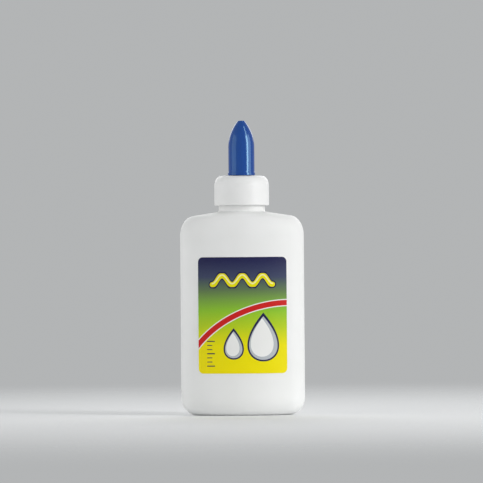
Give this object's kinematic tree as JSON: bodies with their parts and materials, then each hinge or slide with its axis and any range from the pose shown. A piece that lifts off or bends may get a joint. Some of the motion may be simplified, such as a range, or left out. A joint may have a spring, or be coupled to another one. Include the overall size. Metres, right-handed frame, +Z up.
{
  "type": "glue bottle",
  "caption": "Oblong white squeeze bottle of craft glue with a rounded screw cap, a bullet-shaped blue nozzle that rises off a sealing pin to open, and a front label.",
  "frame": {"origin": "middle of the base, on the surface that the bottle stands on", "axes": "+Z up through neck and nozzle, +X to the right along the broad face, label facing -Y"},
  "size_m": [0.0598, 0.0342, 0.1426],
  "materials": {
    "bottle_white": "satin",
    "glue_white": "gloss",
    "label_print": "satin",
    "liner_foam": "matte",
    "cap_white": "satin",
    "nozzle_blue": "gloss"
  },
  "bodies": {
    "bottle": {"bottle": "bottle_white", "glue": "glue_white", "front_label": "label_print"},
    "liner": {"cap_liner": "liner_foam"},
    "screw_cap": {"screw_cap": "cap_white"},
    "nozzle": {"nozzle": "nozzle_blue"}
  },
  "joints": [
    {"name": "cap_lift", "type": "slide", "parent": "bottle", "child": "liner", "axis": [0, 0, 1], "range_m": [0, 0.0127]},
    {"name": "cap_turn", "type": "hinge", "parent": "liner", "child": "screw_cap", "pos_m": [0, 0, 0.108], "axis": [0, 0, 1], "range_deg": [0, 1440]},
    {"name": "nozzle_rise", "type": "slide", "parent": "screw_cap", "child": "nozzle", "axis": [0, 0, 1], "range_m": [0, 0.0025]}
  ],
  "couplings": [
    {"joint": "cap_lift", "follows": "cap_turn", "m_per_rad": 0.0005053}
  ]
}
